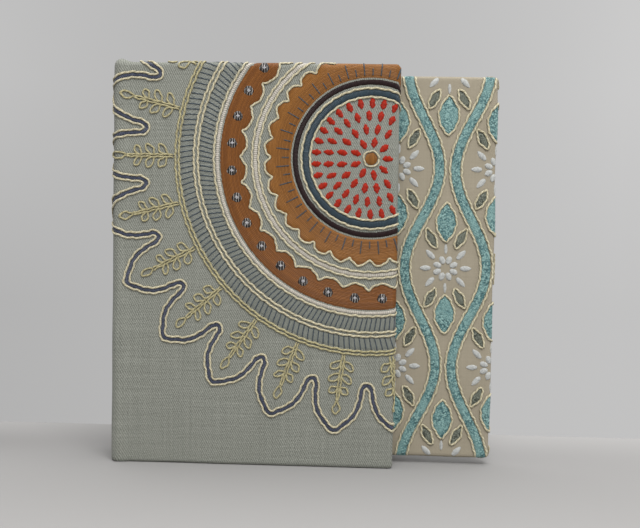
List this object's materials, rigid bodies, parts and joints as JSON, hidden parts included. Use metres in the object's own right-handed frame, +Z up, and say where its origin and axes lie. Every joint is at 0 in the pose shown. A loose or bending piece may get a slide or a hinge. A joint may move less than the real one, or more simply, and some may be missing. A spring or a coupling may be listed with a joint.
{
  "type": "needle case",
  "caption": "Flat cloth-covered slipcase with a closed spine and open mouth, holding a pull-out wadded board with a felt pad for sewing needles.",
  "frame": {"origin": "middle of the base of the whole object in its part-open rest position", "axes": "+Z up, +X out of the mouth, +Y towards the back, so the embroidered front faces -Y"},
  "size_m": [0.0986, 0.017, 0.104],
  "materials": {
    "twill_cloth": "grey-green furnishing twill with slub yarns, matt",
    "lining_cotton": "plain cream cotton over paper, matt",
    "greyboard": "grey-brown recycled board, matt, fibrous",
    "brocade_cloth": "teal satin-stitch pattern on a beige ground, soft sheen on the teal",
    "wadding": "white needled polyester wadding",
    "backing_cloth": "plain beige cotton, matt",
    "felt": "cream wool felt, matt and fuzzy",
    "teal_thread": "teal cotton sewing thread, slight sheen",
    "couched_braid": "cream twisted rayon cord couched down, soft sheen",
    "embroidery_silk": "stranded satin-stitch threads in red, ochre, brown, navy, silver white, soft sheen",
    "needle_steel": "polished nickel-plated steel"
  },
  "bodies": {
    "slipcase": {"outer_cloth": "twill_cloth", "head_cloth": "twill_cloth", "tail_cloth": "twill_cloth", "front_board": "greyboard", "back_board": "greyboard", "spine_board": "greyboard", "head_card": "greyboard", "tail_card": "greyboard", "front_lining": "lining_cotton", "back_lining": "lining_cotton", "spine_lining": "lining_cotton", "head_lining": "lining_cotton", "tail_lining": "lining_cotton"},
    "insert": {"insert_cloth": "brocade_cloth", "insert_wadding": "wadding", "insert_board": "greyboard", "insert_backing": "backing_cloth", "needle_felt": "felt", "felt_stitching": "teal_thread", "needle_1": "needle_steel", "needle_2": "needle_steel", "needle_3": "needle_steel", "needle_4": "needle_steel", "needle_5": "needle_steel", "needle_6": "needle_steel", "needle_7": "needle_steel"}
  },
  "joints": [
    {"name": "insert_slide", "type": "slide", "parent": "slipcase", "child": "insert", "axis": [1, 0, 0], "range_m": [-0.0256, 0.046]}
  ]
}
